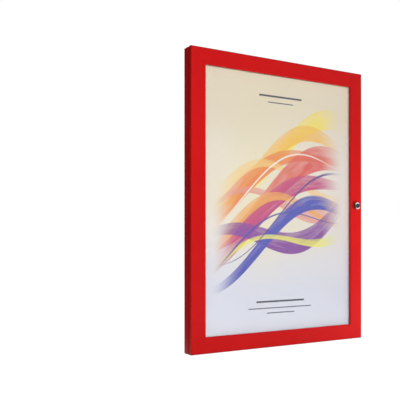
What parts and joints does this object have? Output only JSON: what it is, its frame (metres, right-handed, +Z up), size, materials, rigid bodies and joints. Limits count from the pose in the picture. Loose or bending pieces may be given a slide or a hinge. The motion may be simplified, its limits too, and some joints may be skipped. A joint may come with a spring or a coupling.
{
  "type": "poster case",
  "caption": "Wall mounted lockable case for an A1 poster: mitred aluminium frame, glazed door on a full length side hinge, cam lock at mid height.",
  "frame": {"origin": "centre of the rectangle of wall fixing holes, in the plane of the back face that lies on the wall", "axes": "+X to the right seen from the front, +Y into the wall, +Z up; the door faces -Y"},
  "size_m": [0.674, 0.05, 0.921],
  "materials": {
    "red_coat": "semi-gloss red powder coat",
    "cast_aluminium": "as cast",
    "zinc_steel": "zinc plated",
    "stainless": "brushed",
    "white_panel": "white coil coat on steel",
    "white_board": "paper faced board",
    "print": "satin print",
    "magnet_rubber": "matt",
    "seal_rubber": "matt",
    "black_plastic": "matt",
    "glazing": "clear",
    "chrome": "polished"
  },
  "bodies": {
    "case": {"case_profile_left": "red_coat", "case_profile_right": "red_coat", "case_profile_top": "red_coat", "case_profile_bottom": "red_coat", "case_corner_cleats": "cast_aluminium", "case_cleat_screws": "zinc_steel", "back_panel": "white_panel", "poster_board": "white_board", "poster_sheet": "print", "poster_magnets": "magnet_rubber", "weather_seal": "seal_rubber", "access_hole_plugs": "black_plastic", "hinge_leaf_case": "red_coat", "hinge_pin": "stainless", "hinge_screws_case": "zinc_steel", "strike_plate": "stainless", "strike_screws": "zinc_steel"},
    "door": {"door_profile_left": "red_coat", "door_profile_right": "red_coat", "door_profile_top": "red_coat", "door_profile_bottom": "red_coat", "door_corner_cleats": "cast_aluminium", "door_cleat_screws": "zinc_steel", "glazing_sheet": "glazing", "glazing_gasket": "seal_rubber", "glazing_bead_left": "black_plastic", "glazing_bead_right": "black_plastic", "glazing_bead_top": "black_plastic", "glazing_bead_bottom": "black_plastic", "hinge_leaf_door": "red_coat", "hinge_screws_door": "zinc_steel", "lock_housing": "chrome", "lock_washer": "zinc_steel", "lock_nut": "zinc_steel"},
    "lock_cylinder": {"lock_plug": "chrome", "lock_cam": "zinc_steel", "cam_screw": "zinc_steel"}
  },
  "joints": [
    {"name": "door_swing", "type": "hinge", "parent": "case", "child": "door", "pos_m": [-0.3338, -0.028, 0], "axis": [0, 0, -1], "range_deg": [0, 105]},
    {"name": "lock_turn", "type": "hinge", "parent": "door", "child": "lock_cylinder", "pos_m": [0.315, -0.03, 0], "axis": [0, 1, 0], "range_deg": [0, 90]}
  ]
}
